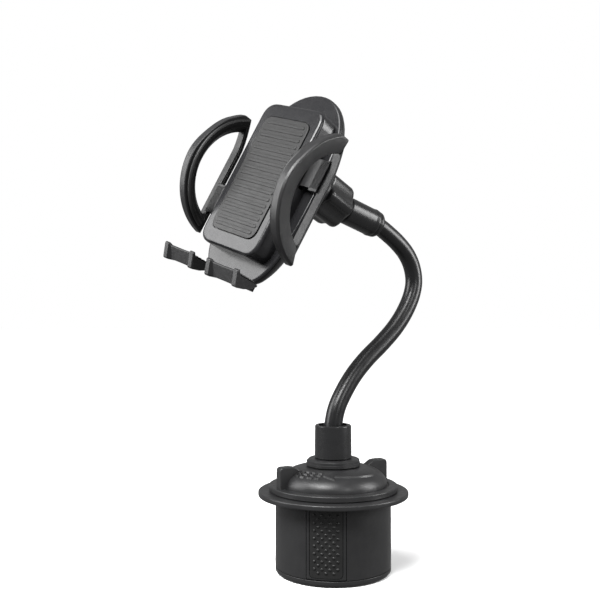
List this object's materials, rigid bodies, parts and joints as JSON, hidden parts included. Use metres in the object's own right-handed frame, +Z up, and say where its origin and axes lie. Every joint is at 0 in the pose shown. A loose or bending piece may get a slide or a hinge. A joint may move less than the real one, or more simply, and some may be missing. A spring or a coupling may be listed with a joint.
{
  "type": "car phone mount",
  "caption": "Cup-holder phone mount: expanding base with a dial, flexible gooseneck, ball joint, and a cradle with two sliding arms and two feet.",
  "frame": {"origin": "centre of the underside of the base", "axes": "+Z up; the gooseneck bends in the YZ plane and the cradle looks towards -Y"},
  "size_m": [0.1003, 0.1605, 0.2662],
  "materials": {
    "satin_plastic": "satin charcoal moulded plastic",
    "polished_plastic": "glossier charcoal plastic",
    "neck_rubber": "smooth glossy black sleeve",
    "soft_rubber": "matte black rubber",
    "steel": "plated steel",
    "acetal": "natural white acetal"
  },
  "bodies": {
    "base": {"base_shell": "satin_plastic", "base_bottom_plate": "satin_plastic", "bottom_plate_screw_1": "steel", "bottom_plate_screw_2": "steel", "bottom_plate_screw_3": "steel", "base_centre_pad": "soft_rubber", "centre_post": "satin_plastic", "post_screw": "steel", "neck_socket": "satin_plastic", "neck_sleeve_1": "neck_rubber", "neck_core_1": "steel"},
    "dial": {"dial_cap": "satin_plastic", "scroll_plate": "acetal", "dial_snap_ring": "steel"},
    "jaw_1": {"grip_jaw_1": "satin_plastic", "jaw_pad_1": "soft_rubber"},
    "jaw_2": {"grip_jaw_2": "satin_plastic", "jaw_pad_2": "soft_rubber"},
    "jaw_3": {"grip_jaw_3": "satin_plastic", "jaw_pad_3": "soft_rubber"},
    "neck_nut": {"neck_lock_nut": "satin_plastic"},
    "neck_2": {"neck_sleeve_2": "neck_rubber", "neck_core_2": "steel"},
    "neck_3": {"neck_sleeve_3": "neck_rubber", "neck_core_3": "steel"},
    "neck_4": {"neck_sleeve_4": "neck_rubber", "neck_core_4": "steel"},
    "neck_5": {"neck_sleeve_5": "neck_rubber", "neck_core_5": "steel"},
    "neck_head": {"neck_sleeve_6": "neck_rubber", "neck_core_6": "steel", "upper_sleeve": "satin_plastic", "upper_sleeve_ring": "satin_plastic", "ball_stud": "satin_plastic"},
    "ball_pan": {"ball_friction_ring": "acetal"},
    "ball_tilt": {"ball_seat_ring": "acetal"},
    "cradle": {"back_housing": "satin_plastic", "front_cover": "polished_plastic", "front_pad": "soft_rubber", "housing_screw_1": "steel", "housing_screw_2": "steel", "housing_screw_3": "steel", "housing_screw_4": "steel", "pinion_pin": "steel", "arm_opening_spring": "steel", "rocker_pin": "steel"},
    "ball_nut": {"ball_lock_nut": "satin_plastic"},
    "right_clamp": {"right_arm": "satin_plastic", "right_arm_lining": "soft_rubber"},
    "left_clamp": {"left_arm": "satin_plastic", "left_arm_lining": "soft_rubber"},
    "pinion": {"arm_pinion": "acetal"},
    "button": {"release_button": "satin_plastic", "release_spring": "steel"},
    "rocker": {"release_rocker": "acetal"},
    "right_support": {"right_foot": "satin_plastic", "right_foot_pad": "soft_rubber"},
    "left_support": {"left_foot": "satin_plastic", "left_foot_pad": "soft_rubber"}
  },
  "joints": [
    {"name": "dial_turn", "type": "hinge", "parent": "base", "child": "dial", "pos_m": [0, 0, 0.048], "axis": [0, 0, 1], "range_deg": [-80, 0]},
    {"name": "jaw_1_slide", "type": "slide", "parent": "base", "child": "jaw_1", "axis": [0.7193, -0.6947, 0], "range_m": [0, 0.008]},
    {"name": "jaw_2_slide", "type": "slide", "parent": "base", "child": "jaw_2", "axis": [0.2419, 0.9703, 0], "range_m": [0, 0.008]},
    {"name": "jaw_3_slide", "type": "slide", "parent": "base", "child": "jaw_3", "axis": [-0.9613, -0.2756, 0], "range_m": [0, 0.008]},
    {"name": "neck_nut_turn", "type": "hinge", "parent": "base", "child": "neck_nut", "pos_m": [0, 0, 0.0623], "axis": [0, 0, 1], "range_deg": [0, 180]},
    {"name": "neck_bend_1", "type": "hinge", "parent": "base", "child": "neck_2", "pos_m": [0, 0.0036, 0.09495], "axis": [1, 0, 0], "range_deg": [-18, 18]},
    {"name": "neck_swing_2", "type": "hinge", "parent": "neck_2", "child": "neck_3", "pos_m": [0, 0.02453, 0.12017], "axis": [0, -0.6478, 0.7618], "range_deg": [-18, 18]},
    {"name": "neck_bend_3", "type": "hinge", "parent": "neck_3", "child": "neck_4", "pos_m": [0, 0.05032, 0.14224], "axis": [1, 0, 0], "range_deg": [-18, 18]},
    {"name": "neck_swing_4", "type": "hinge", "parent": "neck_4", "child": "neck_5", "pos_m": [0, 0.06149, 0.17291], "axis": [0, -0.9673, -0.2535], "range_deg": [-18, 18]},
    {"name": "neck_bend_5", "type": "hinge", "parent": "neck_5", "child": "neck_head", "pos_m": [0, 0.03936, 0.19618], "axis": [1, 0, 0], "range_deg": [-18, 18]},
    {"name": "ball_pan", "type": "hinge", "parent": "neck_head", "child": "ball_pan", "pos_m": [0, -0.001, 0.2105], "axis": [0.1944, 0.4124, 0.89], "range_deg": [-25, 0]},
    {"name": "ball_tilt", "type": "hinge", "parent": "ball_pan", "child": "ball_tilt", "pos_m": [0, -0.001, 0.2105], "axis": [0.95, 0.1468, -0.2755], "range_deg": [0, 15]},
    {"name": "ball_spin", "type": "hinge", "parent": "ball_tilt", "child": "cradle", "pos_m": [0, -0.001, 0.2105], "axis": [0.2443, -0.8991, 0.3633], "range_deg": [-73, 107]},
    {"name": "ball_nut_turn", "type": "hinge", "parent": "cradle", "child": "ball_nut", "pos_m": [0, -0.001, 0.2105], "axis": [0.2443, -0.8991, 0.3633], "range_deg": [0, 180]},
    {"name": "arm_slide", "type": "slide", "parent": "cradle", "child": "right_clamp", "axis": [0.95, 0.1468, -0.2755], "range_m": [-0.009, 0.009]},
    {"name": "left_arm_slide", "type": "slide", "parent": "cradle", "child": "left_clamp", "axis": [-0.95, -0.1468, 0.2755], "range_m": [-0.009, 0.009]},
    {"name": "arm_pinion_turn", "type": "hinge", "parent": "cradle", "child": "pinion", "pos_m": [0.00874, -0.05121, 0.21388], "axis": [0.2443, -0.8991, 0.3633], "range_deg": [-104, 104]},
    {"name": "button_press", "type": "slide", "parent": "cradle", "child": "button", "axis": [0.2443, -0.8991, 0.3633], "range_m": [0, 0.0025], "stiffness_N_per_m": 300, "springref_m": -0.002},
    {"name": "rocker_tip", "type": "hinge", "parent": "cradle", "child": "rocker", "pos_m": [0.01218, -0.03681, 0.23342], "axis": [0.95, 0.1468, -0.2755], "range_deg": [0, 9]},
    {"name": "right_foot_slide", "type": "slide", "parent": "cradle", "child": "right_support", "axis": [-0.1944, -0.4124, -0.89], "range_m": [0, 0.01]},
    {"name": "left_foot_slide", "type": "slide", "parent": "cradle", "child": "left_support", "axis": [-0.1944, -0.4124, -0.89], "range_m": [0, 0.01]}
  ],
  "couplings": [
    {"joint": "jaw_1_slide", "follows": "dial_turn", "m_per_rad": -0.0057296},
    {"joint": "jaw_2_slide", "follows": "dial_turn", "m_per_rad": -0.0057296},
    {"joint": "jaw_3_slide", "follows": "dial_turn", "m_per_rad": -0.0057296},
    {"joint": "left_arm_slide", "follows": "arm_slide", "ratio": 1},
    {"joint": "arm_pinion_turn", "follows": "arm_slide", "rad_per_m": -200},
    {"joint": "rocker_tip", "follows": "button_press", "rad_per_m": 62.5}
  ]
}
